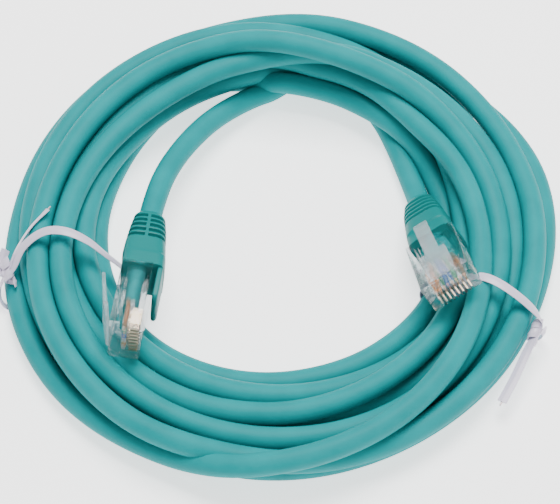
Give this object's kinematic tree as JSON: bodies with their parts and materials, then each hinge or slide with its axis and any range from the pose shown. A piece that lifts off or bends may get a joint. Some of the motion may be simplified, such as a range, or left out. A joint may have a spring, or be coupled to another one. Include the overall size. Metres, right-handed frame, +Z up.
{
  "type": "ethernet patch cable",
  "caption": "Round-jacketed network patch cable wound in a flat ring held by twist ties, with a booted, latched clear modular plug on each end.",
  "frame": {"origin": "centre of the whole part's footprint, on the surface it lies on", "axes": "+Z up out of the flat ring; +Y away from the two plugs' noses, roughly along their cables; +X from plug a towards plug b"},
  "size_m": [0.1264, 0.124, 0.0243],
  "materials": {
    "jacket": "matte with a soft sheen, teal",
    "boot": "smooth moulded, slightly glossier teal",
    "clear_plastic": "clear polycarbonate, glossy",
    "contact": "thin gold plating, bright",
    "copper": "bare copper",
    "tie_plastic": "soft translucent white",
    "tie_wire": "plain wire",
    "insulation_white_orange": "smooth insulation",
    "insulation_orange": "smooth insulation",
    "insulation_white_green": "smooth insulation",
    "insulation_blue": "smooth insulation",
    "insulation_white_blue": "smooth insulation",
    "insulation_green": "smooth insulation",
    "insulation_white_brown": "smooth insulation",
    "insulation_brown": "smooth insulation"
  },
  "bodies": {
    "cable": {"cable_coil": "jacket", "cable_lead_a": "jacket", "jacket_end_a": "jacket", "boot_a": "boot", "housing_a": "clear_plastic", "contact_a1": "contact", "contact_a2": "contact", "contact_a3": "contact", "contact_a4": "contact", "contact_a5": "contact", "contact_a6": "contact", "contact_a7": "contact", "contact_a8": "contact", "wire_white_orange_a": "insulation_white_orange", "wire_orange_a": "insulation_orange", "wire_white_green_a": "insulation_white_green", "wire_blue_a": "insulation_blue", "wire_white_blue_a": "insulation_white_blue", "wire_green_a": "insulation_green", "wire_white_brown_a": "insulation_white_brown", "wire_brown_a": "insulation_brown", "conductor_cores_a": "copper", "cable_lead_b": "jacket", "jacket_end_b": "jacket", "boot_b": "boot", "housing_b": "clear_plastic", "contact_b1": "contact", "contact_b2": "contact", "contact_b3": "contact", "contact_b4": "contact", "contact_b5": "contact", "contact_b6": "contact", "contact_b7": "contact", "contact_b8": "contact", "wire_white_orange_b": "insulation_white_orange", "wire_orange_b": "insulation_orange", "wire_white_green_b": "insulation_white_green", "wire_blue_b": "insulation_blue", "wire_white_blue_b": "insulation_white_blue", "wire_green_b": "insulation_green", "wire_white_brown_b": "insulation_white_brown", "wire_brown_b": "insulation_brown", "conductor_cores_b": "copper", "tie_left_strip": "tie_plastic", "tie_left_wire": "tie_wire", "tie_right_strip": "tie_plastic", "tie_right_wire": "tie_wire"},
    "latch_a": {"latch_a": "clear_plastic"},
    "latch_b": {"latch_b": "clear_plastic"}
  },
  "joints": [
    {"name": "latch_a_flex", "type": "hinge", "parent": "cable", "child": "latch_a", "pos_m": [-0.03504, -0.03291, 0.01713], "axis": [-0.0857, -0.1259, -0.9883], "range_deg": [0, 10], "stiffness_Nm_per_rad": 0.02},
    {"name": "latch_b_flex", "type": "hinge", "parent": "cable", "child": "latch_b", "pos_m": [0.03502, -0.02052, 0.02161], "axis": [-0.8324, -0.3377, -0.4394], "range_deg": [0, 10], "stiffness_Nm_per_rad": 0.02}
  ]
}
